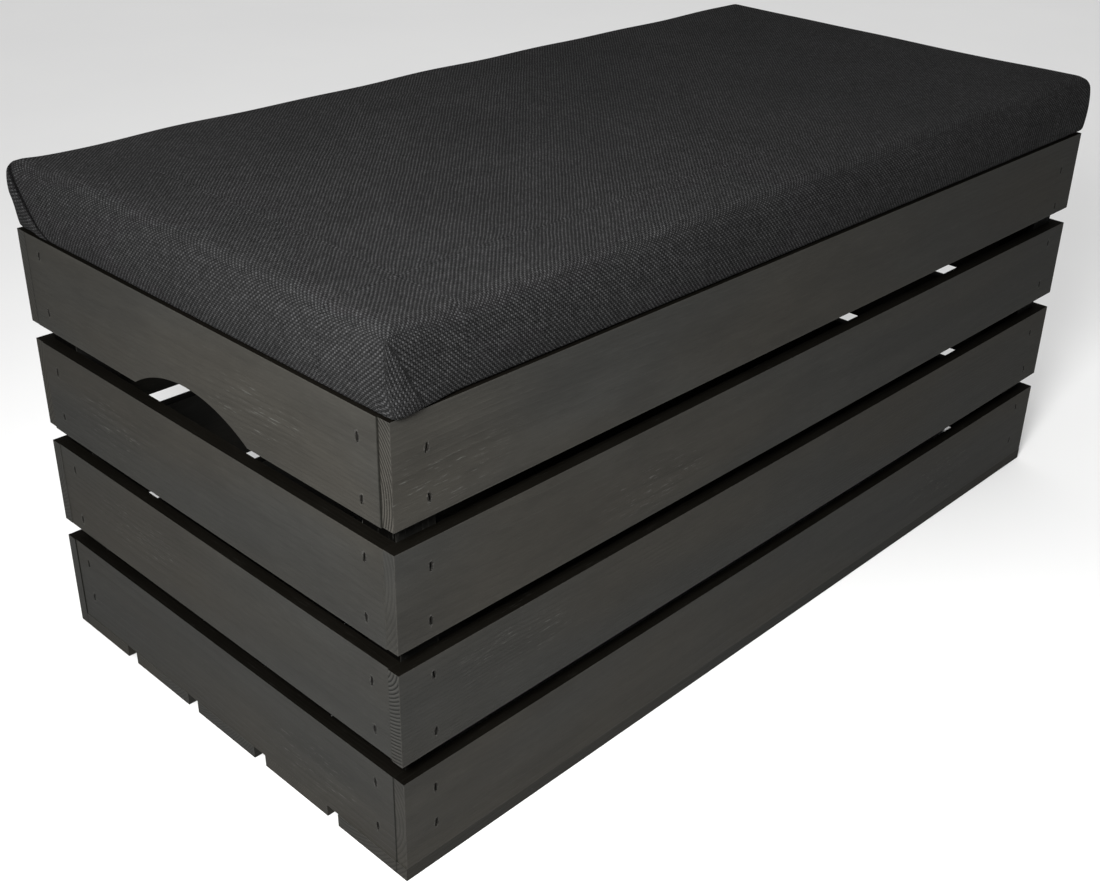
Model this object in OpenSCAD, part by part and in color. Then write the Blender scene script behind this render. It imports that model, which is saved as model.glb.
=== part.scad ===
// Storage bench: an open-topped crate of stained pine boards with an upholstered lid that lifts off.
// X runs along the length, Y from the front to the back, Z up.
// The origin is on the floor, under the middle of the crate.

/* [Crate] */
// Length of the crate
crate_l = 800; // [600:10:1000]
// Width of the crate, front to back
crate_w = 400; // [360:10:480]
// Boards stacked in each wall
wall_count = 4; // [3:1:5]
// Boards side by side in the floor
floor_count = 5; // [3:1:5]
// Width of every wall and floor board
board_w = 70; // [60:1:80]
// Thickness of every wall and floor board
board_t = 10; // [9:0.5:12]
// Open gap between two wall boards
wall_gap = 14; // [8:1:20]
// Largest amount that one board is sawn short of its full size
saw_play = 0.8; // [0.2:0.1:1.2]

/* [Corner posts] */
// Side of the square post inside each corner
post_side = 30; // [26:1:36]
// How far a post stops below the rim
post_drop = 4; // [2:1:10]

/* [Hand holes] */
// Length of the arched hand hole along the lower edge of its board
hand_l = 126; // [90:2:150]
// Height of the arch at its middle
hand_h = 18.5; // [12:0.5:26]

/* [Crate staples] */
// Crown length of the narrow staples that hold the boards
staple_w = 6; // [5:0.2:8]
// Width of the staple wire
wire_w = 1.3; // [1:0.1:1.6]
// Thickness of the staple wire
wire_t = 1; // [0.8:0.1:1.3]
// Length of a staple's legs
staple_l = 24; // [18:1:28]
// Depth that each crown is driven below the board's face
driven = 0.8; // [0.3:0.1:1.5]
// Distance from the crate's outer corner to a wall board's staples
staple_in = 27; // [23:1:31]
// Height of the lower staple above its board's lower edge
staple_low = 14; // [10:1:20]
// Height of the upper staple above its board's lower edge
staple_high = 54; // [48:1:58]
// Height of the lower staple in a long wall's top board
top_low = 11; // [10:1:20]
// Height of the upper staple in a long wall's top board
top_high = 43; // [36:1:58]
// Extra height of the lower staple in the lowest board of each wall
lowest_lift = 7; // [0:1:12]
// How far a staple strays from its mark
stray_most = 3; // [0:0.5:4]
// How far a staple leans from upright, in degrees
lean_most = 14; // [0:1:20]

/* [Lid] */
// Height of the whole lid above the rim
lid_h = 48; // [40:1:70]
// How far the lid stands in from the crate's outer faces
lid_inset = 1.5; // [0:0.5:5]
// Thickness of the plywood board inside the lid
ply_t = 12; // [9:1:15]
// Thickness of the cover fabric with its backing
cover_t = 1.5; // [1:0.1:2.5]
// Rounding of the cover's corners and of its upper edges
lid_r = 12; // [8:1:18]
// Width of the cover's hem, folded under the board
hem_w = 32; // [26:1:40]

/* [Lid battens] */
// Width of a batten
batten_w = 30; // [24:1:40]
// Height of a batten, which is how far it reaches down into the crate
batten_h = 18; // [12:1:24]
// Chamfer along a batten's lower edges
batten_chamfer = 3; // [1:0.5:5]
// Play between a batten's ends and the walls, and beside the posts
batten_play = 3; // [2:0.5:5]

/* [Hidden] */
// Height of the crate's rim, which the lid rests on
rim = board_t + wall_count * board_w + (wall_count - 1) * wall_gap;
// Radius of the circle that cuts the arched hand hole
hand_r = (hand_l * hand_l / 4 + hand_h * hand_h) / (2 * hand_h);
// Pitch of the floor boards across the crate
floor_pitch = (crate_w - board_w) / (floor_count - 1);
// Play numbers: the four walls and the floor each start at their own place in the sequence
FRONT = 0;
BACK = 10;
LEFT = 20;
RIGHT = 30;
FLOOR = 40;
// Spacing of the staples along the outer floor boards' edges
edge_pitch = 190;
// Play between a crown and the slot that it was driven through
slot_play = 0.2;
// Length and width of the lid's board, which the cover wraps
lid_l = crate_l - 2 * lid_inset - 2 * cover_t;
lid_w = crate_w - 2 * lid_inset - 2 * cover_t;
// Centre of a batten along the length
batten_x = crate_l / 2 - board_t - post_side - batten_play - batten_w / 2;
// Screws: shank, length, head and cross slot
screw_d = 3.5;
screw_l = 26;
screw_head_d = 7;
screw_head_h = 2.4;
screw_slot = [4, 0.9, 1.2];
screw_y = 130;
// Tacker staples in the hem: crown, wire, legs, distance in from the cover's outer face, pitch and rows
tack_w = 10;
tack_wire = 0.7;
tack_l = 8;
tack_inset = 19;
tack_pitch = 60;
tacks_long = 11;
tacks_short = 5;
// Overshoot of cuts past the surface that they open
over = 1;

function names(stem, first, last) = [for (i = [first:last]) str(stem, i)];

// Lower edge of wall board i, where board 1 is the top one
function wall_z(i) = rim - board_w - (i - 1) * (board_w + wall_gap);

// A size rounded to a tenth of a millimetre, so that faces that should meet do meet
function tenth(x) = round(10 * x) / 10;

// Amount that board k is sawn short, from nothing to saw_play
function play(k) = tenth(saw_play * (0.5 + 0.5 * sin(97 * k)));

// Amount that staple k strays from its mark, either way
function stray(k) = tenth(stray_most * sin(143 * k));

// Places of the four staples in wall board i: across the wall from the middle, up, and the lean
function staple_marks(i, wall, span) = [
    for (side = [-1, 1], row = [0, 1])
        let (
            k = 4 * i + 2 * row + (side + 1) / 2 + 16 * wall,
            lift = (i == wall_count && row == 0) ? lowest_lift : 0,
            rows = (i == 1 && span == crate_l) ? [top_low, top_high] : [staple_low, staple_high]
        )
        [
            side * (span / 2 - staple_in + stray(k) / 3),
            wall_z(i) + rows[row] + lift + stray(k + 7),
            lean_most * sin(71 * k)
        ]
];

// Staple of a given crown, wire and legs, standing along X with its crown's outer face at z = 0
module staple(crown, width, thickness, legs) {
    rotate([90, 0, 0])
        linear_extrude(width, center = true) {
            translate([-crown / 2, 0])
                square([crown, thickness]);
            for (side = [-1, 1])
                translate([side * (crown - thickness) / 2 - thickness / 2, 0])
                    square([thickness, legs]);
        }
}

// Crate staple at the bottom of its slot
module driven_staple() {
    translate([0, 0, driven])
        staple(staple_w, wire_w, wire_t, staple_l);
}

// The slot over a driven crown, cut up from just below the board's face
module slot_cut() {
    translate([0, 0, (driven - over) / 2])
        cube([staple_w + slot_play, wire_w + slot_play, over + driven], center = true);
}

// Puts its children at each staple mark of board i in a wall that faces -Y, crown upright
module at_marks(i, wall, span, depth) {
    for (mark = staple_marks(i, wall, span))
        translate([mark[0], -depth / 2, mark[1]])
            rotate([-90, 0, 0])
                rotate([0, 0, 90 + mark[2]])
                    children();
}

// One long wall board in the front wall
module long_board(i, wall) {
    short = play(wall + i);
    low = (i == wall_count) ? 0 : play(wall + i + 3);
    difference() {
        translate([-crate_l / 2 + short, -crate_w / 2, wall_z(i) + low])
            cube([crate_l - 2 * short, board_t, board_w - low]);
        at_marks(i, wall, crate_l, crate_w) slot_cut();
    }
}

// One end board, between the long walls, turned so that its outer face looks towards -Y
module end_board(i, wall, has_hand_hole = false) {
    inset = play(wall + i);
    low = (i == 1 || i == wall_count) ? 0 : play(wall + i + 3);
    difference() {
        translate([-crate_w / 2 + board_t, -crate_l / 2 + inset, wall_z(i) + low])
            cube([crate_w - 2 * board_t, board_t - inset, board_w - low]);
        translate([0, inset, 0])
            at_marks(i, wall, crate_w, crate_l) slot_cut();
        if (has_hand_hole)
            translate([0, -crate_l / 2 - over, wall_z(i) + hand_h - hand_r])
                rotate([-90, 0, 0])
                    cylinder(r = hand_r, h = board_t + 2 * over, $fn = 180);
    }
}

// Turns a wall that faces -Y to its own side of the crate
module turn_back() {
    mirror([0, 1, 0]) children();
}
module turn_left() {
    rotate([0, 0, -90]) children();
}
module turn_right() {
    rotate([0, 0, 90]) children();
}

module front_board(i) {
    color("#3f3f3c") long_board(i, FRONT);
}

module back_board(i) {
    color("#3f3f3c") turn_back() long_board(i, BACK);
}

module left_board(i) {
    color("#454542") turn_left() end_board(i, LEFT, i == 1);
}

module right_board(i) {
    color("#454542") turn_right() end_board(i, RIGHT, i == 1);
}

// Square post in the corner at side_x, side_y (each -1 or 1), standing on the floor boards
module corner_post(side_x, side_y) {
    color("#393937")
        translate([
            side_x * (crate_l - 2 * board_t - post_side) / 2,
            side_y * (crate_w - 2 * board_t - post_side) / 2,
            board_t + (rim - board_t - post_drop) / 2
        ])
            cube([post_side, post_side, rim - board_t - post_drop], center = true);
}

// Middle of floor board i across the crate
function floor_y(i) = -crate_w / 2 + board_w / 2 + (i - 1) * floor_pitch;

// Marks on the underside: two staples at each end of every board, and a row along each outer edge
function floor_marks(i) = concat(
    [
        for (side = [-1, 1], row = [-1, 1])
            [side * (crate_l - board_t) / 2, floor_y(i) + row * (board_w / 4 + stray(i + row) / 2), 90]
    ],
    [
        for (side = [-1, 1], step = [-1.5:1:1.5])
            if (i == (side < 0 ? 1 : floor_count))
                [step * edge_pitch + stray(step + i), side * (crate_w - board_t) / 2, 0]
    ]
);

module at_floor_marks(i) {
    for (mark = floor_marks(i))
        translate([mark[0], mark[1], 0])
            rotate([0, 0, mark[2]])
                children();
}

// Lengthwise floor board under all four walls; the two outer ones have the crate's full length
module floor_board(i) {
    short = (i == 1 || i == floor_count) ? 0 : play(FLOOR + i);
    color("#3b3a37")
        difference() {
            translate([-crate_l / 2 + short, floor_y(i) - board_w / 2, 0])
                cube([crate_l - 2 * short, board_w, board_t]);
            at_floor_marks(i) slot_cut();
        }
}

// Staples of a long wall that faces -Y
module long_wall_staples(wall) {
    for (i = [1:wall_count])
        at_marks(i, wall, crate_l, crate_w)
            driven_staple();
}

// Staples of an end wall, which follow the inset of their boards
module end_wall_staples(wall) {
    for (i = [1:wall_count])
        translate([0, play(wall + i), 0])
            at_marks(i, wall, crate_w, crate_l)
                driven_staple();
}

module front_staples() {
    color("dimgray") long_wall_staples(FRONT);
}

module back_staples() {
    color("dimgray") turn_back() long_wall_staples(BACK);
}

module left_staples() {
    color("dimgray") turn_left() end_wall_staples(LEFT);
}

module right_staples() {
    color("dimgray") turn_right() end_wall_staples(RIGHT);
}

module floor_staples() {
    color("dimgray")
        for (i = [1:floor_count])
            at_floor_marks(i)
                driven_staple();
}

// Rectangle about the origin with round corners
module round_rect(l, w, r) {
    square([l - 2 * r, w], center = true);
    square([l, w - 2 * r], center = true);
    for (x = [-1, 1], y = [-1, 1])
        translate([x * (l / 2 - r), y * (w / 2 - r)])
            circle(r = r, $fn = 48);
}

// Upright profile with a flat foot and round upper corners
module round_top(w, h, r) {
    translate([-w / 2, 0]) square([w, h - r]);
    translate([r - w / 2, 0]) square([w - 2 * r, h]);
    for (x = [-1, 1])
        translate([x * (w / 2 - r), h - r])
            circle(r = r, $fn = 48);
}

// Block with round upright corners and round upper edges, standing at height z
module cushion_block(l, w, h, r, z) {
    translate([0, 0, z])
        intersection() {
            linear_extrude(h) round_rect(l, w, r);
            rotate([90, 0, 0])
                linear_extrude(w, center = true) round_top(l, h, r);
            rotate([90, 0, 90])
                linear_extrude(l, center = true) round_top(w, h, r);
        }
}

// What the cover wraps: the plywood board with the foam on top
module lid_filling() {
    cushion_block(lid_l, lid_w, lid_h - 2 * cover_t, lid_r - cover_t, rim + cover_t);
}

// Opening that the hem leaves under the lid
module hem_opening() {
    cube([lid_l - 2 * hem_w, lid_w - 2 * hem_w, 2 * cover_t], center = true);
}

module lid_board() {
    color("burlywood")
        translate([0, 0, rim + cover_t])
            linear_extrude(ply_t)
                round_rect(lid_l, lid_w, lid_r - cover_t);
}

module foam_pad() {
    color("khaki")
        difference() {
            lid_filling();
            translate([-lid_l, -lid_w, rim + cover_t + ply_t - 2 * lid_h])
                cube([2 * lid_l, 2 * lid_w, 2 * lid_h]);
        }
}

module fabric_cover() {
    color("#565656")
        difference() {
            cushion_block(lid_l + 2 * cover_t, lid_w + 2 * cover_t, lid_h, lid_r, rim);
            lid_filling();
            translate([0, 0, rim]) hem_opening();
        }
}

// Dust cloth that fills the opening between the hems
module lid_lining() {
    color("#2b2b2b")
        intersection() {
            translate([0, 0, rim]) hem_opening();
            translate([-lid_l / 2, -lid_w / 2, rim])
                cube([lid_l, lid_w, cover_t]);
        }
}

// Batten across the lid's underside, which drops between the posts and the long walls
module batten(side) {
    half = batten_w / 2;
    low = half - batten_chamfer;
    color("#8a7350")
        translate([side * batten_x, 0, rim - batten_h])
            rotate([90, 0, 0])
                linear_extrude(crate_w - 2 * board_t - 2 * batten_play, center = true)
                    polygon([
                        [-low, 0],
                        [low, 0],
                        [half, batten_chamfer],
                        [half, batten_h],
                        [-half, batten_h],
                        [-half, batten_chamfer]
                    ]);
}

// Countersunk screw with a cross slot, head down at the origin
module screw() {
    difference() {
        union() {
            cylinder(d1 = screw_head_d, d2 = screw_d, h = screw_head_h, $fn = 32);
            cylinder(d = screw_d, h = screw_l, $fn = 32);
        }
        for (turn = [0, 90])
            rotate([0, 0, turn])
                cube([screw_slot[0], screw_slot[1], 2 * screw_slot[2]], center = true);
    }
}

module batten_screws() {
    color("silver")
        for (side = [-1, 1], y = [-screw_y, 0, screw_y])
            translate([side * batten_x, y, rim - batten_h])
                screw();
}

// One tacker staple along X, its crown flat against the hem's underside
module tack() {
    translate([0, 0, -tack_wire])
        staple(tack_w, tack_wire, tack_wire, tack_l);
}

// Tacker staples round the hem: a row along each long side and a shorter row at each end
module lid_staples() {
    color("silver")
        for (side = [-1, 1]) {
            for (step = [0:tacks_long - 1])
                translate([
                    (step - (tacks_long - 1) / 2) * tack_pitch,
                    side * (lid_w / 2 + cover_t - tack_inset),
                    rim
                ])
                    tack();
            for (step = [0:tacks_short - 1])
                translate([
                    side * (lid_l / 2 + cover_t - tack_inset),
                    (step - (tacks_short - 1) / 2) * tack_pitch,
                    rim
                ])
                    rotate([0, 0, 90]) tack();
        }
}

for (i = [1:wall_count]) {
    front_board(i);
    back_board(i);
}
for (i = [2:wall_count]) {
    left_board(i);
    right_board(i);
}
left_board(1);  // left_handle_board
right_board(1);  // right_handle_board
corner_post(-1, -1);  // front_left_post
corner_post(1, -1);  // front_right_post
corner_post(-1, 1);  // back_left_post
corner_post(1, 1);  // back_right_post
for (i = [1:floor_count])
    floor_board(i);
front_staples();
back_staples();
left_staples();
right_staples();
floor_staples();
lid_board();
foam_pad();
fabric_cover();
lid_lining();
batten(-1);  // left_batten
batten(1);  // right_batten
batten_screws();
lid_staples();
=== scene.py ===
import math

import bmesh
import bpy
import numpy as np
from mathutils import Matrix, Vector


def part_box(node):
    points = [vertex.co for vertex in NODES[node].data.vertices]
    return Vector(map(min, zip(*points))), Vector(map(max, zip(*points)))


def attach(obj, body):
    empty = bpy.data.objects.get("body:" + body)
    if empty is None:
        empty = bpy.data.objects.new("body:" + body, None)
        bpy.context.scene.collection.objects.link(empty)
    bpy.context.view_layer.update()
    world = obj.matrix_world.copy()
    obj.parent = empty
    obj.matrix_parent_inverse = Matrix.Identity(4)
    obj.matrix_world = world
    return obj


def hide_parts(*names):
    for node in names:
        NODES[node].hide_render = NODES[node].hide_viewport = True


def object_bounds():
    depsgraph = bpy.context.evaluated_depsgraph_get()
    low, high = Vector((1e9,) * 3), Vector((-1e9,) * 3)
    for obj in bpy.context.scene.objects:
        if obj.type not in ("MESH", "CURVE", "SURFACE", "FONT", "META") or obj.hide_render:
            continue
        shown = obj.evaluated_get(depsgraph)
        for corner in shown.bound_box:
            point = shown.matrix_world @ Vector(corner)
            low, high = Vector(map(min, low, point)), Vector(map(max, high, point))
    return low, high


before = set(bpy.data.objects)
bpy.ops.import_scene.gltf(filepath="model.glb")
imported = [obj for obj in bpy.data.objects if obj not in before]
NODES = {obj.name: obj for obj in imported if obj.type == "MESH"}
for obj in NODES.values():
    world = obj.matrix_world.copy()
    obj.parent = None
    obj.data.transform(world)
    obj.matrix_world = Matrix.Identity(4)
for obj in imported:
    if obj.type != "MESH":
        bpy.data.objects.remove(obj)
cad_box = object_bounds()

# ---------------------------------------------------------------- shader building


class Shader:
    """A node material being built. Each method adds one node and returns its main output."""

    def __init__(self, name):
        self.material = bpy.data.materials.new(name)
        self.material.use_nodes = True
        self.tree = self.material.node_tree
        self.bsdf = self.tree.nodes["Principled BSDF"]
        self.coordinates = None

    def put(self, socket, value):
        if isinstance(value, bpy.types.NodeSocket):
            self.tree.links.new(value, socket)
        else:
            socket.default_value = value

    def new(self, kind, inputs=(), **settings):
        node = self.tree.nodes.new(kind)
        for key, value in settings.items():
            setattr(node, key, value)
        for key, value in dict(inputs).items():
            self.put(node.inputs[key], value)
        return node

    def object_space(self):
        if self.coordinates is None:
            self.coordinates = self.new("ShaderNodeTexCoord")
        return self.coordinates.outputs["Object"]

    def object_normal(self):
        self.object_space()
        return self.coordinates.outputs["Normal"]

    def attribute(self, name):
        return self.new("ShaderNodeAttribute", attribute_name=name).outputs["Vector"]

    def math(self, operation, a, b=0.0, c=0.0, clamp=False):
        node = self.new("ShaderNodeMath", {0: a, 1: b, 2: c}, operation=operation, use_clamp=clamp)
        return node.outputs[0]

    def add(self, a, b):
        return self.math("ADD", a, b)

    def sub(self, a, b):
        return self.math("SUBTRACT", a, b)

    def mul(self, a, b):
        return self.math("MULTIPLY", a, b)

    def step(self, value, start, end, low=0.0, high=1.0):
        """Smooth rise from low to high as value goes from start to end."""
        inputs = {"Value": value, "From Min": start, "From Max": end, "To Min": low, "To Max": high}
        return self.new("ShaderNodeMapRange", inputs, interpolation_type="SMOOTHSTEP").outputs[0]

    def separate(self, vector):
        return self.new("ShaderNodeSeparateXYZ", {0: vector}).outputs

    def combine(self, x, y, z):
        return self.new("ShaderNodeCombineXYZ", {0: x, 1: y, 2: z}).outputs[0]

    def stretched(self, parts, *scales):
        """A vector of three values, each multiplied by its own scale."""
        return self.combine(*[self.mul(part, scale) for part, scale in zip(parts, scales)])

    def noise(self, vector, scale, detail=2.0, roughness=0.5, distortion=0.0):
        inputs = {
            "Vector": vector,
            "Scale": scale,
            "Detail": detail,
            "Roughness": roughness,
            "Distortion": distortion,
        }
        return self.new("ShaderNodeTexNoise", inputs).outputs[0]

    def mix(self, factor, a, b):
        node = self.new("ShaderNodeMix", data_type="RGBA")
        for index, value in ((0, factor), (6, a), (7, b)):
            self.put(node.inputs[index], value)
        return node.outputs[2]

    def vector(self, operation, *values):
        """A vector maths node itself, since a length comes out of another socket than a vector."""
        return self.new("ShaderNodeVectorMath", dict(enumerate(values)), operation=operation)

    def scale_colour(self, colour, factor):
        grey = self.combine(factor, factor, factor)
        return self.vector("MULTIPLY", colour, grey).outputs[0]

    def bump(self, height, distance, strength=1.0, normal=None):
        inputs = {"Height": height, "Distance": distance, "Strength": strength}
        if normal is not None:
            inputs["Normal"] = normal
        return self.new("ShaderNodeBump", inputs).outputs[0]

    def finish(self, **inputs):
        for key, value in inputs.items():
            self.put(self.bsdf.inputs[key.replace("_", " ")], value)
        return self.material


def rgb(red, green, blue):
    return (red, green, blue, 1.0)


def dress(name, material):
    """Gives a CAD node its material."""
    mesh = NODES[name].data
    mesh.materials.clear()
    mesh.materials.append(material)


# ---------------------------------------------------------------- wood

AXES = {"x": 0, "y": 1, "z": 2}


def board_coordinates(shader, name, axes):
    """Distances from a board's middle along, across and through it, and the same as half sizes."""
    low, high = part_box(name)
    middle = (low + high) / 2
    half = (high - low) / 2
    place = shader.separate(shader.object_space())
    order = [AXES[letter] for letter in axes]
    return [shader.sub(place[i], middle[i]) for i in order], [half[i] for i in order]


def edge_distance(shader, parts, half):
    """Distance along a board's face to its nearest edge, from the second smallest of the three depths."""
    depth = [shader.sub(h, shader.math("ABSOLUTE", p)) for p, h in zip(parts, half)]
    low = shader.math("MINIMUM", depth[0], depth[1])
    high = shader.math("MAXIMUM", depth[0], depth[1])
    return shader.math("MAXIMUM", low, shader.math("MINIMUM", high, depth[2]))


def growth_rings(shader, parts, pith, pitch, seed):
    """Rings of a log round a pith line beside the board: 0 in early wood, rising to 1 in late wood."""
    along, across, through = parts
    slow = shader.combine(shader.mul(along, 2.2), seed, 0.0)
    wander = shader.mul(shader.sub(shader.noise(slow, 1.0, 2.0), 0.5), 0.05)
    lean = shader.mul(along, 0.012)
    from_pith = shader.add(shader.add(shader.sub(across, pith[0]), wander), lean)
    depth = shader.sub(through, pith[1])
    squares = shader.add(shader.mul(from_pith, from_pith), shader.mul(depth, depth))
    radius = shader.math("SQRT", squares)
    place = shader.combine(shader.mul(along, 0.12), across, through)
    ripple = shader.mul(shader.sub(shader.noise(place, 38.0, 3.0), 0.5), 0.0022)
    turns = shader.math("FRACT", shader.math("DIVIDE", shader.add(radius, ripple), pitch))
    rise = shader.step(turns, 0.25, 0.88)
    fall = shader.step(turns, 0.93, 1.0, 1.0, 0.0)
    return shader.mul(rise, fall)


def solids_in(name):
    """The middle of each separate solid in a CAD node."""
    work = bmesh.new()
    work.from_mesh(NODES[name].data)
    bmesh.ops.remove_doubles(work, verts=work.verts, dist=1e-6)
    left = set(work.verts)
    middles = []
    while left:
        stack = [left.pop()]
        group = []
        while stack:
            vertex = stack.pop()
            group.append(tuple(vertex.co))
            near = [edge.other_vert(vertex) for edge in vertex.link_edges]
            fresh = [other for other in near if other in left]
            left.difference_update(fresh)
            stack.extend(fresh)
        middles.append((np.min(group, axis=0) + np.max(group, axis=0)) / 2)
    work.free()
    return middles


# One over a staple bruise's half length and half height, along and across the board, in 1/m
BRUISE_SCALE = (620.0, 310.0, 0.0)


def staple_marks(shader, parts, name, axes, staples):
    """Dark bruises round the staples of a board, and the pale torn fibres beside them."""
    low, high = (np.array(v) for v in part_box(name))
    middle = (low + high) / 2
    order = [AXES[letter] for letter in axes[:2]]
    face = shader.combine(parts[0], parts[1], 0.0)
    nearest = 10.0
    for staple in staples:
        along, across = (staple - middle)[order]
        if abs(along) < (high - middle)[order[0]] and abs(across) < (high - middle)[order[1]]:
            offset = shader.vector("SUBTRACT", face, (along, across, 0.0)).outputs[0]
            scaled = shader.vector("MULTIPLY", offset, BRUISE_SCALE).outputs[0]
            length = shader.vector("LENGTH", scaled)
            nearest = shader.math("MINIMUM", nearest, length.outputs["Value"])
    ragged = shader.mul(shader.sub(shader.noise(shader.object_space(), 700.0, 3.0), 0.5), 2.0)
    reach = shader.add(nearest, ragged)
    bruise = shader.step(reach, 0.75, 1.05, 1.0, 0.0)
    torn = shader.mul(shader.step(reach, 0.85, 1.05), shader.step(reach, 1.2, 1.5, 1.0, 0.0))
    side = shader.step(shader.noise(shader.object_space(), 330.0, 1.0), 0.42, 0.56)
    return bruise, shader.mul(torn, side)


def corner_joint_shade(shader, strength):
    """Painted shade: a dark line where an end board meets the inner face of a long board, seen on the crate's
    ends.
    """
    inner = abs(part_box("front_board_1")[1].y)
    end = cad_box[1][0]
    place = shader.separate(shader.object_space())
    x, y = place[0], place[1]
    off = shader.math("ABSOLUTE", shader.sub(shader.math("ABSOLUTE", y), inner))
    near = shader.step(off, 0.0003, 0.0011, 1.0, 0.0)
    on_end = shader.step(shader.math("ABSOLUTE", x), end - 0.004, end - 0.002, 0.0, strength)
    return shader.mul(near, on_end)


def stained_pine(name, axes, seed, log, staples=(), wild=None, tone=1.0, edge_stain_and_shade=1.0):
    """Charcoal stain on sawn pine: faint grain on the faces, clear rings on the end grain, rubbed edges,
    narrow edges darkened by soaked-in stain and by painted shade, and a painted shade line at the corner
    joints.
    """
    pith, pitch, contrast = log
    shader = Shader("stained_pine_" + name)
    parts, half = board_coordinates(shader, name, axes)
    along, across = parts[:2]
    shift = 3.7 * seed
    rings = growth_rings(shader, parts, pith, pitch, shift)

    normals = shader.separate(shader.object_normal())
    end_grain = shader.step(shader.math("ABSOLUTE", normals[AXES[axes[0]]]), 0.6, 0.9)
    narrow_edge = shader.step(shader.math("ABSOLUTE", normals[AXES[axes[1]]]), 0.75, 0.95)

    fibre_place = shader.stretched(parts, 90.0, 900.0, 900.0)
    fibre_place = shader.vector("ADD", fibre_place, (shift, shift, 0.0)).outputs[0]
    fibre = shader.noise(fibre_place, 1.0, 3.0, 0.6)
    streak_place = shader.combine(shader.mul(along, 6.0), shader.mul(across, 70.0), shift)
    streak = shader.noise(streak_place, 1.0, 3.0, 0.55)
    cloud_place = shader.stretched(parts, 14.0, 32.0, 32.0)
    cloud_place = shader.vector("ADD", cloud_place, (0.0, shift, shift)).outputs[0]
    cloud = shader.noise(cloud_place, 1.0, 4.0, 0.6)
    tint = shader.noise(shader.combine(shader.mul(along, 4.0), shader.mul(across, 12.0), shift), 1.0, 1.0)

    usual = (0.6 * half[0] * math.sin(5.1 * seed), 0.4 * half[1] * math.cos(4.3 * seed))
    wild_along, wild_across = wild or usual
    away_along = shader.mul(shader.sub(along, wild_along), 1 / 0.055)
    away_across = shader.mul(shader.sub(across, wild_across), 1 / 0.022)
    away = shader.add(shader.mul(away_along, away_along), shader.mul(away_across, away_across))
    wildness = shader.step(shader.add(away, shader.mul(cloud, 1.2)), 0.6, 1.9, 1.0, 0.0)

    on_face = shader.add(0.04, shader.mul(wildness, 0.10))
    ring_strength = shader.math("MAXIMUM", on_face, shader.mul(end_grain, contrast))
    early_wood = shader.add(1.0, shader.mul(ring_strength, 0.40))
    ring_shade = shader.sub(early_wood, shader.mul(rings, ring_strength))
    streak_shade = shader.step(streak, 0.3, 0.7, 0.96, 1.04)
    cloud_shade = shader.step(cloud, 0.25, 0.75, 0.87, 1.13)
    fibre_shade = shader.step(fibre, 0.2, 0.8, 0.92, 1.08)
    shade = shader.mul(shader.mul(ring_shade, streak_shade), shader.mul(cloud_shade, fibre_shade))
    shade = shader.mul(shade, tone)

    warmth = shader.step(tint, 0.35, 0.7)
    colour = shader.mix(warmth, rgb(0.0248, 0.0246, 0.0226), rgb(0.0262, 0.0246, 0.0210))
    # Narrow edges turn near black: partly stain soaked into the sawn wood, partly painted shade of the gaps
    # between the boards.
    colour = shader.mix(shader.mul(narrow_edge, edge_stain_and_shade), colour, rgb(0.0026, 0.0022, 0.0015))
    colour = shader.scale_colour(colour, shade)
    raised = shader.mul(shader.step(fibre, 0.60, 0.74), shader.add(0.05, shader.mul(wildness, 0.8)))
    colour = shader.mix(raised, colour, rgb(0.074, 0.074, 0.068))
    crack = shader.step(fibre, 0.30, 0.22)
    colour = shader.mix(shader.mul(crack, 0.25), colour, rgb(0.010, 0.009, 0.008))

    edge = edge_distance(shader, parts, half)
    fray = shader.noise(shader.object_space(), 420.0, 3.0, 0.6)
    worn = shader.step(shader.add(edge, shader.mul(fray, 0.0022)), 0.0009, 0.0019, 1.0, 0.0)
    worn = shader.mul(worn, shader.step(narrow_edge, 0.0, 1.0, 0.4, 0.02))
    colour = shader.mix(worn, colour, rgb(0.052, 0.050, 0.044))
    # Painted shade in the crack of the corner joint.
    joint_shade = corner_joint_shade(shader, JOINT_SHADE.get(name[-1], 0.7))
    colour = shader.mix(joint_shade, colour, rgb(0.004, 0.004, 0.003))
    bruise, torn = staple_marks(shader, parts, name, axes, staples)
    colour = shader.mix(shader.mul(bruise, 0.72), colour, rgb(0.006, 0.0055, 0.005))
    colour = shader.mix(shader.mul(torn, 0.40), colour, rgb(0.066, 0.065, 0.060))

    relief = shader.add(shader.mul(rings, 0.3), shader.mul(fibre, shader.add(0.5, shader.mul(wildness, 0.5))))
    relief = shader.add(relief, shader.mul(streak, 0.4))
    relief = shader.add(relief, shader.mul(cloud, 0.4))
    relief = shader.sub(relief, bruise)
    relief = shader.add(relief, shader.mul(torn, 0.8))
    normal = shader.bump(relief, 0.0004, 0.7)
    roughness = shader.step(cloud, 0.2, 0.8, 0.58, 0.74)
    return shader.finish(Base_Color=colour, Roughness=roughness, Normal=normal, Specular_IOR_Level=0.05)


def soften_edges(name, width):
    """A small round along a sawn board's edges."""
    bevel = NODES[name].modifiers.new("eased_edges", "BEVEL")
    bevel.width = width
    bevel.segments = 2
    bevel.limit_method = "ANGLE"
    bevel.angle_limit = math.radians(40)
    bevel.harden_normals = False


WALL_AXES = {"front": "xzy", "back": "xzy", "left": "yzx", "right": "yzx", "floor": "xyz"}
# Middle of a patch of wild grain, along and across the board from its own middle
WILD_GRAIN = {"front_board_1": (-0.362, -0.012), "left_board_3": (0.09, 0.0), "front_board_3": (-0.3, 0.01)}
# Strength of the painted shade line at the corner joints, by the board's place in its wall from the top
JOINT_SHADE = {"1": 0.75, "2": 0.15, "3": 0.25, "4": 0.85}
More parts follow.
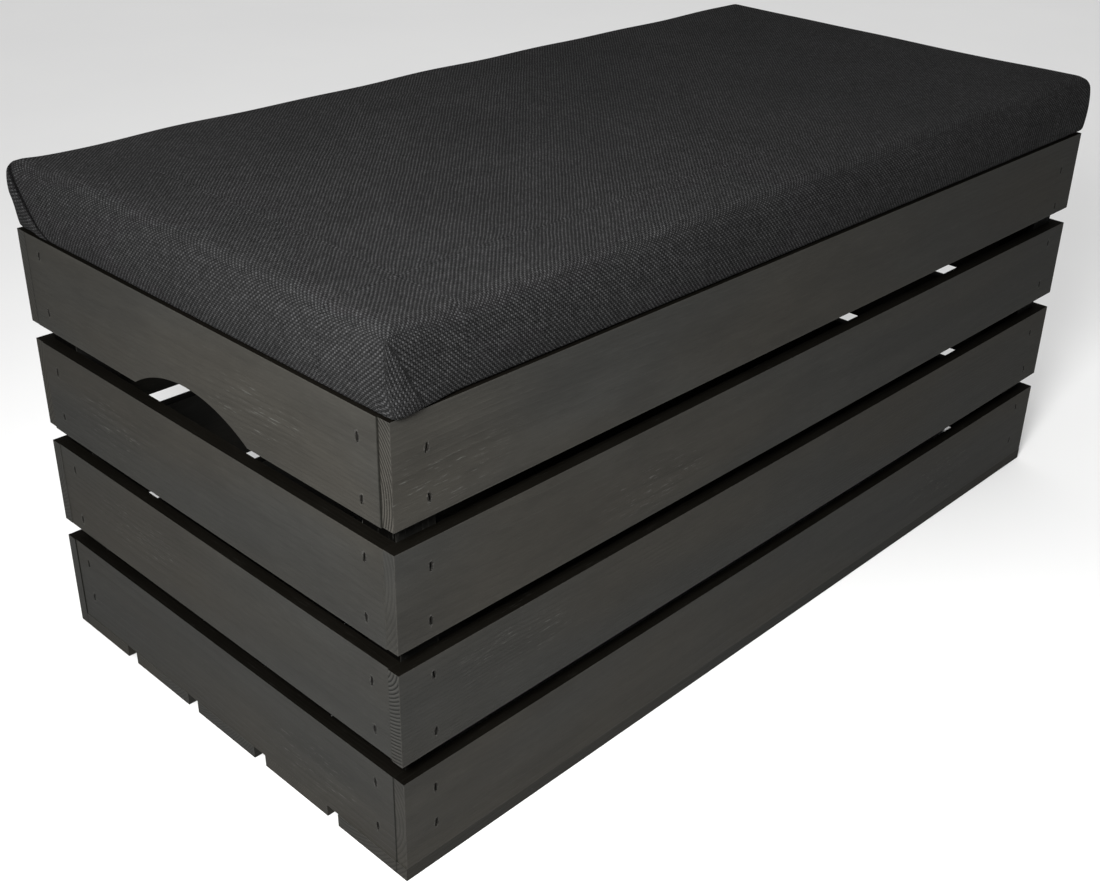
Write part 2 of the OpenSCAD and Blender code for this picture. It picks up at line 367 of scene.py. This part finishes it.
# Pith from the board's middle, across and through it, then the rings' pitch and contrast on the end grain
END_GRAIN = {
    "front_board_1": ((-0.022, 0.056), 0.0021, 1.15),
    "front_board_2": ((0.004, 0.060), 0.0030, 0.25),
    "front_board_3": ((0.030, 0.014), 0.0026, 1.10),
    "front_board_4": ((-0.010, 0.035), 0.0032, 0.30),
}


def log_of(name, k):
    """The place in a log that a board was sawn from."""
    across = 0.05 * math.sin(2.3 * k + 1.0)
    through = 0.022 + 0.05 * abs(math.sin(1.7 * k + 0.4))
    return END_GRAIN.get(name) or ((across, through), 0.0026 + 0.0005 * math.sin(k), 0.45)


def dress_crate():
    """Wall boards, floor boards and posts, each cut from its own place in the log."""
    for wall, (word, axes) in enumerate(WALL_AXES.items()):
        staples = solids_in(word + "_staples")
        names = sorted(n for n in NODES if n.startswith(word + "_") and n.rstrip("_12345").endswith("board"))
        for i, name in enumerate(names):
            k = 7 * wall + i
            tone = 1.0 + 0.05 * math.sin(3.1 * k)
            # The floor boards' narrow edges get less of the stain darkening and painted gap shade.
            edge_stain_and_shade = 0.35 if word == "floor" else 1.0
            material = stained_pine(
                name, axes, k + 1, log_of(name, k), staples, WILD_GRAIN.get(name), tone, edge_stain_and_shade
            )
            dress(name, material)
            soften_edges(name, 0.0007)
    for i, name in enumerate(sorted(n for n in NODES if n.endswith("_post"))):
        log = ((0.03, 0.02 + 0.01 * i), 0.0025, 0.4)
        # The posts' tone of 0.3 is painted shade: they stand in shadow behind the gaps between the boards.
        dress(name, stained_pine(name, "zxy", 60 + i, log, tone=0.3))
        soften_edges(name, 0.0008)


def staple_steel():
    """Steel crowns that were stained over with the boards."""
    shader = Shader("staple_steel")
    grime = shader.noise(shader.object_space(), 900.0, 3.0, 0.6)
    colour = shader.mix(shader.step(grime, 0.4, 0.65), rgb(0.035, 0.034, 0.031), rgb(0.11, 0.108, 0.10))
    roughness = shader.step(grime, 0.3, 0.7, 0.4, 0.65)
    normal = shader.bump(grime, 0.0001, 0.6)
    return shader.finish(Base_Color=colour, Metallic=0.6, Roughness=roughness, Normal=normal)


def zinc_steel():
    """Bright zinc on the lid's screws and tacker staples."""
    shader = Shader("zinc_steel")
    spangle = shader.noise(shader.object_space(), 700.0, 2.0, 0.5)
    colour = shader.mix(spangle, rgb(0.52, 0.53, 0.54), rgb(0.72, 0.72, 0.71))
    roughness = shader.step(spangle, 0.3, 0.7, 0.28, 0.45)
    normal = shader.bump(spangle, 0.00005, 0.4)
    return shader.finish(Base_Color=colour, Metallic=1.0, Roughness=roughness, Normal=normal)


def raw_pine(name, axes, seed):
    """Planed, unstained pine of a lid batten."""
    shader = Shader("raw_pine_" + name)
    parts = board_coordinates(shader, name, axes)[0]
    rings = growth_rings(shader, parts, (0.02, 0.03), 0.0027, seed)
    fibre_place = shader.stretched(parts, 30.0, 900.0, 900.0)
    fibre = shader.noise(fibre_place, 1.0, 4.0, 0.6)
    colour = shader.mix(rings, rgb(0.62, 0.44, 0.25), rgb(0.44, 0.26, 0.12))
    colour = shader.scale_colour(colour, shader.step(fibre, 0.2, 0.8, 0.88, 1.1))
    height = shader.add(shader.mul(rings, 0.4), fibre)
    normal = shader.bump(height, 0.0002, 0.6)
    return shader.finish(Base_Color=colour, Roughness=0.6, Normal=normal)


def plywood():
    """Birch plywood with its plies showing on the edges."""
    shader = Shader("plywood")
    place = shader.separate(shader.object_space())
    ply = shader.math("FRACT", shader.math("DIVIDE", place[2], 0.0034))
    band = shader.step(ply, 0.45, 0.55)
    grain_place = shader.combine(shader.mul(place[0], 12.0), shader.mul(place[1], 300.0), place[2])
    grain = shader.noise(grain_place, 1.0, 4.0, 0.6)
    colour = shader.mix(band, rgb(0.60, 0.42, 0.24), rgb(0.46, 0.29, 0.15))
    colour = shader.scale_colour(colour, shader.step(grain, 0.2, 0.8, 0.86, 1.12))
    normal = shader.bump(grain, 0.0002, 0.6)
    return shader.finish(Base_Color=colour, Roughness=0.62, Normal=normal)


# ---------------------------------------------------------------- cloth and foam materials

# Width of one crossing of the basket weave
YARN = 0.0016


def basket_weave():
    """Charcoal melange cloth in a basket weave, with a darker warp, diagonal ribs, slubs, flecks and fuzz."""
    shader = Shader("upholstery")
    cloth = shader.separate(shader.attribute("cloth"))
    wobble = shader.noise(shader.object_space(), 60.0, 2.0)
    drift = shader.mul(shader.sub(wobble, 0.5), 0.0011)
    s = shader.math("DIVIDE", shader.add(cloth[0], drift), YARN)
    t = shader.math("DIVIDE", shader.sub(cloth[1], drift), YARN)
    cell = shader.add(shader.math("FLOOR", s), shader.math("FLOOR", t))
    warp_up = shader.math("PINGPONG", cell, 1.0)
    bow_s = shader.math("SINE", shader.mul(shader.math("FRACT", s), math.pi))
    bow_t = shader.math("SINE", shader.mul(shader.math("FRACT", t), math.pi))
    twin_s = shader.math("ABSOLUTE", shader.math("SINE", shader.mul(s, 2 * math.pi)))
    twin_t = shader.math("ABSOLUTE", shader.math("SINE", shader.mul(t, 2 * math.pi)))
    warp = shader.mul(shader.math("SQRT", bow_t), shader.add(0.82, shader.mul(twin_s, 0.18)))
    weft = shader.mul(shader.math("SQRT", bow_s), shader.add(0.82, shader.mul(twin_t, 0.18)))
    warp = shader.mul(warp, shader.math("POWER", bow_s, 0.25))
    weft = shader.mul(weft, shader.math("POWER", bow_t, 0.25))
    height = shader.add(shader.mul(warp, warp_up), shader.mul(weft, shader.sub(1.0, warp_up)))

    # The ribs follow one diagonal on the sides and the other on the top, as they look in the photo
    side_rib = shader.math("SINE", shader.mul(shader.add(s, t), math.pi / 2))
    top_rib = shader.math("COSINE", shader.mul(shader.sub(s, t), math.pi / 2))
    on_side = shader.step(shader.separate(shader.object_normal())[2], 0.85, 0.5)
    side_part = shader.mul(shader.mul(side_rib, side_rib), on_side)
    top_part = shader.mul(shader.mul(top_rib, top_rib), shader.sub(1.0, on_side))
    rib = shader.add(side_part, top_part)
    height = shader.math("MAXIMUM", height, shader.mul(shader.mul(rib, rib), 0.55))
    height = shader.mul(height, shader.step(rib, 0.0, 0.8, 0.78, 1.0))

    cell_place = shader.combine(shader.math("FLOOR", s), shader.math("FLOOR", t), 0.0)
    cell_shade = shader.new("ShaderNodeTexWhiteNoise", {"Vector": cell_place}).outputs["Value"]
    slub = shader.noise(shader.combine(shader.mul(s, 0.05), shader.mul(t, 0.9), 0.0), 1.0, 2.0)
    slub_two = shader.noise(shader.combine(shader.mul(s, 0.9), shader.mul(t, 0.05), 4.0), 1.0, 2.0)
    fuzz = shader.noise(shader.object_space(), 2600.0, 2.0, 0.6)
    cloud = shader.noise(shader.object_space(), 14.0, 3.0, 0.6)

    blotch = shader.noise(shader.object_space(), 190.0, 2.0, 0.6)
    dark = shader.add(shader.mul(warp_up, 0.55), shader.mul(shader.sub(1.0, rib), 0.45))
    colour = shader.mix(dark, rgb(0.0264, 0.0264, 0.0267), rgb(0.0092, 0.0092, 0.0094))
    # Painted shade in the grooves between the yarns: the colour falls to 12% where the weave is low and rises
    # to 122% on the yarn tops.
    shade = shader.step(height, 0.20, 0.85, 0.12, 1.22)
    # Painted shade: the cloth darkens to 5% along the folds' creases, read from the cloth attribute's Z.
    shade = shader.mul(shade, shader.step(cloth[2], 0.1, 0.7, 1.0, 0.05))
    shade = shader.mul(shade, shader.step(cell_shade, 0.0, 1.0, 0.74, 1.26))
    shade = shader.mul(shade, shader.step(shader.add(slub, slub_two), 0.7, 1.3, 0.86, 1.14))
    shade = shader.mul(shade, shader.step(cloud, 0.25, 0.75, 0.90, 1.10))
    shade = shader.mul(shade, shader.step(blotch, 0.3, 0.7, 0.84, 1.16))
    colour = shader.scale_colour(colour, shade)
    fleck = shader.mul(shader.step(fuzz, 0.60, 0.72), 0.4)
    colour = shader.mix(fleck, colour, rgb(0.060, 0.060, 0.061))

    relief = shader.add(height, shader.mul(fuzz, 0.25))
    normal = shader.bump(relief, 0.0008, 1.0)
    shader.finish(Base_Color=colour, Roughness=0.92, Normal=normal)
    return shader.finish(Specular_IOR_Level=0.03, Sheen_Weight=0.015, Sheen_Roughness=0.5)


def dust_cloth():
    """Black spun-bonded dust cloth with its pressed dot pattern."""
    shader = Shader("lining")
    place = shader.object_space()
    dots = shader.new("ShaderNodeTexVoronoi", {"Vector": place, "Scale": 900.0}).outputs["Distance"]
    fibre = shader.noise(place, 1500.0, 3.0, 0.7)
    colour = shader.mix(shader.step(fibre, 0.35, 0.7), rgb(0.012, 0.012, 0.013), rgb(0.03, 0.03, 0.032))
    normal = shader.bump(shader.add(dots, fibre), 0.0002, 0.7)
    return shader.finish(Base_Color=colour, Roughness=0.85, Normal=normal)


def open_foam():
    """Pale polyurethane foam with its open cells."""
    shader = Shader("foam")
    place = shader.object_space()
    cells = shader.new("ShaderNodeTexVoronoi", {"Vector": place, "Scale": 1100.0}).outputs["Distance"]
    colour = shader.mix(shader.step(cells, 0.1, 0.6), rgb(0.35, 0.29, 0.14), rgb(0.78, 0.72, 0.48))
    normal = shader.bump(cells, 0.0006, 1.0)
    return shader.finish(Base_Color=colour, Roughness=0.95, Normal=normal)


# ---------------------------------------------------------------- lid cushion


def lines(stops, pitches):
    """Grid lines from the first stop to the last, at about the given pitch between each pair."""
    pieces = []
    for a, b, pitch in zip(stops[:-1], stops[1:], pitches):
        count = max(1, round((b - a) / pitch))
        pieces.append(np.linspace(a, b, count + 1)[:-1])
    return np.concatenate(pieces + [[stops[-1]]])


def mirrored(half_lines):
    """Grid lines on both sides of zero, from those on the positive side that start at zero."""
    return np.concatenate([-half_lines[:0:-1], half_lines])


def box_grid(xs, ys, zs, opening=None):
    """Vertices and quads of a box on grid lines, with an opening in its underside if one is given."""
    index = {}
    points = []

    def vertex(i, j, k):
        key = (i, j, k)
        if key not in index:
            index[key] = len(points)
            points.append((xs[i], ys[j], zs[k]))
        return index[key]

    last_x, last_y, last_z = len(xs) - 1, len(ys) - 1, len(zs) - 1
    quads = []
    for i in range(last_x):
        for j in range(last_y):
            quads.append([vertex(i + a, j + b, last_z) for a, b in ((0, 0), (1, 0), (1, 1), (0, 1))])
            middle = (abs(xs[i] + xs[i + 1]) / 2, abs(ys[j] + ys[j + 1]) / 2)
            if opening is None or middle[0] > opening[0] or middle[1] > opening[1]:
                quads.append([vertex(i + a, j + b, 0) for a, b in ((0, 0), (0, 1), (1, 1), (1, 0))])
    for k in range(last_z):
        for i in range(last_x):
            quads.append([vertex(i + a, 0, k + b) for a, b in ((0, 0), (1, 0), (1, 1), (0, 1))])
            quads.append([vertex(i + a, last_y, k + b) for a, b in ((0, 0), (0, 1), (1, 1), (1, 0))])
        for j in range(last_y):
            quads.append([vertex(0, j + a, k + b) for a, b in ((0, 0), (0, 1), (1, 1), (1, 0))])
            quads.append([vertex(last_x, j + a, k + b) for a, b in ((0, 0), (1, 0), (1, 1), (0, 1))])
    return np.array(points), quads


def wrap_box(points, low, high, roll, foot, power=5.0):
    """Moves a sharp box's points onto a wrapped cushion: rolled top edges, squarish corners, small foot."""
    core = np.clip(points, low + roll, high - roll)
    across = (points - core)[:, :2] / roll
    up = np.maximum(points[:, 2] - (high[2] - roll), 0) / roll
    reach = (np.abs(across) ** power).sum(axis=1) ** (1 / power)
    safe = np.maximum(reach, 1e-9)
    height = points[:, 2] - low[2]
    beneath = height < 1e-9

    edge = roll * (1 - np.abs(across).max(axis=1))
    side_turn = math.pi / 4 * np.clip(1 - height / foot, 0, 1)
    turn = np.where(beneath, math.pi / 4 * (1 + np.clip(edge / foot, 0, 1)), side_turn)
    width = 1 - foot * (1 - np.cos(turn)) / roll
    width = np.where(beneath & (edge > foot), 1 - edge / roll, width)
    width = np.where(reach > 0, width / safe, 0)
    lifted = np.where(height < foot, low[2] + foot * (1 - np.sin(turn)), points[:, 2])

    length = np.maximum(np.hypot(reach, up), 1e-9)
    on_top = up > 0
    out = np.where(on_top, 1 / length, width)
    result = points.copy()
    result[:, :2] = core[:, :2] + across * (out * roll)[:, None]
    result[:, 2] = np.where(on_top, high[2] - roll + roll * up / length, lifted)
    return result


def new_piece(name, points, quads, material):
    mesh = bpy.data.meshes.new(name)
    mesh.from_pydata([tuple(p) for p in points], [], quads)
    mesh.materials.append(material)
    mesh.update()
    piece = bpy.data.objects.new(name, mesh)
    bpy.context.scene.collection.objects.link(piece)
    return piece


def coords(piece):
    flat = np.zeros(len(piece.data.vertices) * 3)
    piece.data.vertices.foreach_get("co", flat)
    return flat.reshape(-1, 3)


def set_coords(piece, points):
    piece.data.vertices.foreach_set("co", points.ravel())
    piece.data.update()


def store_vector(piece, name, values):
    """Keeps a vector at each point of a piece for its material."""
    layer = piece.data.attributes.get(name) or piece.data.attributes.new(name, "FLOAT_VECTOR", "POINT")
    layer.data.foreach_set("vector", values.ravel())


def apply_modifier(piece, modifier):
    bpy.context.view_layer.objects.active = piece
    with bpy.context.temp_override(object=piece, active_object=piece, selected_objects=[piece]):
        bpy.ops.object.modifier_apply(modifier=modifier.name)


def inflate(piece, hold, pressure, frames, most):
    """Blows up a cloth held by its weights. No point moves inward, or further than most."""
    group = piece.vertex_groups.new(name="hold")
    for weight in np.unique(hold):
        group.add([int(i) for i in np.flatnonzero(hold == weight)], float(weight), "REPLACE")
    rest = coords(piece)
    normals = np.array([tuple(vertex.normal) for vertex in piece.data.vertices])
    cloth = piece.modifiers.new("cloth", "CLOTH")
    settings = cloth.settings
    settings.quality = 6
    settings.mass = 0.25
    settings.tension_stiffness = 12
    settings.compression_stiffness = 12
    settings.shear_stiffness = 5
    settings.bending_stiffness = 1.5
    settings.use_pressure = True
    settings.uniform_pressure_force = pressure
    settings.effector_weights.gravity = 0
    settings.vertex_group_mass = "hold"
    cloth.collision_settings.use_collision = False
    scene = bpy.context.scene
    cloth.point_cache.frame_start = 1
    cloth.point_cache.frame_end = frames
    for number in range(1, frames + 1):
        scene.frame_set(number)
    apply_modifier(piece, cloth)
    scene.frame_set(1)
    piece.vertex_groups.clear()
    moved = coords(piece) - rest
    moved -= normals * np.minimum((moved * normals).sum(axis=1, keepdims=True), 0)
    length = np.linalg.norm(moved, axis=1, keepdims=True)
    capped = moved * (most * np.tanh(length / most) / np.maximum(length, 1e-9))
    set_coords(piece, rest + capped)


def smooth_step(value, start, end):
    t = np.clip((value - start) / (end - start), 0, 1)
    return t * t * (3 - 2 * t)


def ripple(points, scale, seed):
    """Slow, smooth and repeatable unevenness between -1 and 1."""
    rng = np.random.default_rng(seed)
    total = np.zeros(len(points))
    for _ in range(7):
        direction = rng.normal(size=3)
        direction *= rng.uniform(0.6, 1.6) / (scale * np.linalg.norm(direction))
        total += np.sin(points @ direction * 2 * math.pi + rng.uniform(0, 2 * math.pi))
    return total / 7


LID_LOW, LID_HIGH = (np.array(v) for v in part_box("fabric_cover"))
LINING = np.array(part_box("lid_lining")[1])

# Each corner's fold: signs of its X and Y, its face, its run along the bottom, its depth, its peak on top
CORNER_FOLDS = (
    (-1, 1, "end", 0.041, 0.0034, 0.0030),
    (-1, -1, "front", 0.022, 0.0006, 0.0005),
    (1, -1, "end", 0.036, 0.0016, 0.0006),
    (1, 1, "end", 0.038, 0.0022, 0.0004),
)


def cloth_places(points):
    """Where each point of the cover lay in the flat cloth, with its sides folded out. Z holds the painted
    shade of the creases.
    """
    x, y, z = points.T
    drop = LID_HIGH[2] - z
    to_end = LID_HIGH[0] - np.abs(x)
    to_side = LID_HIGH[1] - np.abs(y)
    on_end = to_end < to_side
    s = np.where(on_end, np.sign(x) * (np.abs(x) + drop), x)
    t = np.where(on_end, y, np.sign(y) * (np.abs(y) + drop))
    return np.stack([s, t, np.zeros_like(s)], axis=1)


def fold_line(points, sign_x, sign_y, face):
    """Distance in from the corner along the fold's face, height share, and depth behind that face."""
    x, y, z = points.T
    near_x = LID_HIGH[0] - sign_x * x
    near_y = LID_HIGH[1] - sign_y * y
    inward, out = (near_y, near_x) if face == "end" else (near_x, near_y)
    height = np.clip((z - LID_LOW[2]) / (LID_HIGH[2] - LID_LOW[2]), 0, 1)
    return inward, height, out


# Depth of fold from which the painted shade in its crease is at full darkness
FULL_CREASE = 0.003
# Thickness of the cover's cloth
CLOTH = 0.0015


def add_corner_fold(points, places, sign_x, sign_y, face, run, depth, peak):
    """A folded corner: a slanting crease, a flap beside it lifted at its foot, and a drawn-up peak on top."""
    inward, height, out = fold_line(points, sign_x, sign_y, face)
    axis, sign = (0, sign_x) if face == "end" else (1, sign_y)
    on_face = (out < 0.020) & (inward < 3 * run)
    line = 0.002 + run * (1 - height) ** 1.15
    gap = inward - line
    ends = smooth_step(height, 1.0, 0.90) * smooth_step(height, -0.04, 0.03)
    over_foam = smooth_step(height, 0.16, 0.34)
    crease = np.exp(-((gap / 0.0024) ** 2)) * on_face * ends
    lap = smooth_step(gap, 0.0, 0.004) * (1 - smooth_step(gap, 0.010, 0.045))
    flap = np.exp(-(((gap + 0.010) / 0.007) ** 2)) * smooth_step(inward, 0.0, 0.006)
    points[:, axis] += sign * depth * on_face * ends * (0.1 * lap + 0.5 * flap - 0.25 * crease * over_foam)
    foot = on_face * (gap < 0) * smooth_step(height, 0.22, 0.0)
    points[:, 2] += 0.15 * depth * foot * smooth_step(gap, 0.0, -0.012)

    corner = np.array([sign_x, sign_y, 0.8]) / math.sqrt(2.64)
    near_x = LID_HIGH[0] - sign_x * points[:, 0]
    near_y = LID_HIGH[1] - sign_y * points[:, 1]
    drawn = np.exp(-(near_x**2 + near_y**2) / 0.013**2) * smooth_step(height, 0.25, 0.75)
    points += peak * drawn[:, None] * corner

    swung = on_face & (gap < -0.0005) & (inward > out - 0.001)
    turn = math.radians(-25)
    swing = np.array(Matrix.Rotation(turn, 3, "Z"))
    places[swung] = places[swung] @ swing
    # Stores the painted shade of the crease in the cloth attribute's Z.
    places[:, 2] = np.maximum(places[:, 2], crease * min(1, depth / FULL_CREASE))


def hang_corner_tip(points):
    """The near corner's flap stands out at its foot, just clear of the crate's front."""
    x, y, z = points.T
    along = smooth_step(-x, LID_HIGH[0] - 0.055, LID_HIGH[0] - 0.003)
    at_front = smooth_step(-y, LID_HIGH[1] - 0.008, LID_HIGH[1] - 0.003)
    low = 1 - smooth_step(z, LID_LOW[2] + 0.003, LID_LOW[2] + 0.020)
    points[:, 1] -= 0.0050 * along * at_front * low


def soften_cover(points):
    """Stapled cloth over foam: a low crown, wavy edges, full sides, and the right end standing out."""
    x, y, z = points.T
    height = np.clip((z - LID_LOW[2]) / (LID_HIGH[2] - LID_LOW[2]), 0, 1)
    crown = (1 - (x / LID_HIGH[0]) ** 2) * (1 - (y / LID_HIGH[1]) ** 2)
    upper = smooth_step(height, 0.5, 1.0)
    full = np.sin(math.pi * height) ** 0.7
    bulge = full * (0.0020 + 0.0006 * ripple(points, 0.11, 9))
    out_x = smooth_step(np.abs(x), LID_HIGH[0] - 0.02, LID_HIGH[0] - 0.002)
    out_y = smooth_step(np.abs(y), LID_HIGH[1] - 0.02, LID_HIGH[1] - 0.002)
    points[:, 2] += upper * (0.0006 * crown + 0.0016 * ripple(points, 0.13, 5))
    far_end = smooth_step(x, LID_HIGH[0] - 0.03, LID_HIGH[0] - 0.002)
    points[:, 0] += np.sign(x) * out_x * bulge + far_end * (0.0025 + 0.0040 * (1 - height))
    points[:, 1] += np.sign(y) * out_y * bulge


def make_cover():
    """The lid's cover: a wrapped cushion with crowned top, soft edges, folded corners and a stapled hem."""
    opening = LINING[:2]
    zone = 0.022
    rim = 0.004
    pitches = [0.009, 0.0026, 0.0024, 0.0008]
    xs = mirrored(lines([0, opening[0] - zone, opening[0], LID_HIGH[0] - rim, LID_HIGH[0]], pitches))
    ys = mirrored(lines([0, opening[1] - zone, opening[1], LID_HIGH[1] - rim, LID_HIGH[1]], pitches))
    zs = lines([LID_LOW[2], LID_LOW[2] + rim, LID_HIGH[2]], [0.0008, 0.0024])
    points, quads = box_grid(xs, ys, zs, opening)
    places = cloth_places(points)
    points = wrap_box(points, LID_LOW, LID_HIGH + np.array([0, 0, 0.0025]), 0.011, 0.004)
    cover = new_piece("lid_cover", points, quads, basket_weave())
    on_top = points[:, 2] > LID_HIGH[2] - 0.004
    hold = np.where(points[:, 2] < LID_LOW[2] + 0.006, 1.0, np.where(on_top, 0.15, 0.08))
    inflate(cover, hold, 4.0, 16, 0.0035)
    store_vector(cover, "cloth", places)
    divide = cover.modifiers.new("divide", "SUBSURF")
    divide.levels = 1
    divide.render_levels = 1
    apply_modifier(cover, divide)

    points = coords(cover)
    flat = np.zeros(len(points) * 3)
    cover.data.attributes["cloth"].data.foreach_get("vector", flat)
    places = flat.reshape(-1, 3)
    soften_cover(points)
    for fold in CORNER_FOLDS:
        add_corner_fold(points, places, *fold)
    hang_corner_tip(points)
    store_vector(cover, "cloth", places)
    set_coords(cover, points)
    thick = cover.modifiers.new("cloth_thickness", "SOLIDIFY")
    thick.thickness = CLOTH
    thick.offset = -1
    apply_modifier(cover, thick)
    cover.data.polygons.foreach_set("use_smooth", [True] * len(cover.data.polygons))
    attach(cover, "lid")
    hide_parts("fabric_cover")
    return cover


def make_foam():
    """The foam pad inside the cover, smaller than the cover's inside so that no fold meets it."""
    low, high = (np.array(v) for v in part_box("foam_pad"))
    low = low + np.array([0.005, 0.005, 0])
    high = high - np.array([0.005, 0.005, 0.007])
    xs = mirrored(lines([0, high[0] - 0.03, high[0]], [0.03, 0.003]))
    ys = mirrored(lines([0, high[1] - 0.03, high[1]], [0.03, 0.003]))
    zs = lines([low[2], high[2]], [0.003])
    points, quads = box_grid(xs, ys, zs)
    points = wrap_box(points, low, high, 0.01, 0.001)
    foam = new_piece("foam_core", points, quads, open_foam())
    foam.data.polygons.foreach_set("use_smooth", [True] * len(foam.data.polygons))
    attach(foam, "lid")
    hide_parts("foam_pad")
    return foam


def dress_lid():
    dress("lid_board", plywood())
    dress("lid_lining", dust_cloth())
    zinc = zinc_steel()
    for name in ("batten_screws", "lid_staples"):
        dress(name, zinc)
    for i, name in enumerate(("left_batten", "right_batten")):
        dress(name, raw_pine(name, "yxz", 3.0 + i))
        soften_edges(name, 0.0006)


def dress_staples():
    steel = staple_steel()
    for name in NODES:
        if name.endswith("_staples") and name != "lid_staples":
            dress(name, steel)


# ---------------------------------------------------------------- room, light and camera


def make_floor():
    """A pale studio sweep, level under the bench."""
    shader = Shader("studio_floor")
    speckle = shader.noise(shader.object_space(), 3.0, 3.0)
    colour = shader.mix(speckle, rgb(0.80, 0.80, 0.80), rgb(0.84, 0.84, 0.835))
    material = shader.finish(Base_Color=colour, Roughness=0.8, Specular_IOR_Level=0.2)
    size = 6.0
    corners = [(-size, -size, 0), (size, -size, 0), (size, size, 0), (-size, size, 0)]
    floor = new_piece("floor", corners, [[0, 1, 2, 3]], material)
    floor.location.z = -0.0004


def make_light(name, place, target, size, spread, power):
    light = bpy.data.lights.new(name, "AREA")
    light.shape = "DISK"
    light.size = size
    light.spread = math.radians(spread)
    light.energy = power
    lamp = bpy.data.objects.new(name, light)
    lamp.location = place
    lamp.rotation_euler = (Vector(target) - Vector(place)).to_track_quat("-Z", "Y").to_euler()
    lamp.visible_camera = False
    bpy.context.scene.collection.objects.link(lamp)


def make_overhead():
    """Soft, even light from a white ceiling."""
    sun = bpy.data.lights.new("overhead", "SUN")
    sun.energy = 2.15
    sun.angle = math.radians(70)
    lamp = bpy.data.objects.new("overhead", sun)
    bpy.context.scene.collection.objects.link(lamp)


def light_room():
    world = bpy.data.worlds.new("studio")
    world.use_nodes = True
    world.node_tree.nodes["Background"].inputs[0].default_value = (1, 1, 1, 1)
    world.node_tree.nodes["Background"].inputs[1].default_value = 0.1
    bpy.context.scene.world = world
    make_light("key", (-0.98, -0.58, 0.86), (-0.15, -0.05, 0.30), 0.35, 100, 9.0)
    make_overhead()


def make_camera():
    """A camera off the near corner, 0.69 m above the floor, looking down along the bench."""
    place = Vector((-0.8217, -0.7253, 0.6895))
    yaw, pitch, roll = (math.radians(a) for a in (47.484, 28.468, -1.81))
    ahead = Vector((math.sin(yaw) * math.cos(pitch), math.cos(yaw) * math.cos(pitch), -math.sin(pitch)))
    right = Vector((math.cos(yaw), -math.sin(yaw), 0))
    down = ahead.cross(right)
    right_rolled = right * math.cos(roll) + down * math.sin(roll)
    down_rolled = down * math.cos(roll) - right * math.sin(roll)
    turn = Matrix((right_rolled, -down_rolled, -ahead)).transposed()
    camera = bpy.data.cameras.new("camera")
    camera.sensor_width = 36.0
    camera.lens = 46.72
    camera.shift_x = -0.028
    camera.shift_y = -0.0067
    camera.clip_start = 0.01
    holder = bpy.data.objects.new("camera", camera)
    holder.matrix_world = Matrix.Translation(place) @ turn.to_4x4()
    bpy.context.scene.collection.objects.link(holder)
    bpy.context.scene.camera = holder


bpy.context.scene.view_settings.view_transform = "Standard"
make_camera()
light_room()
make_floor()
dress_crate()
dress_staples()
dress_lid()
make_foam()
make_cover()
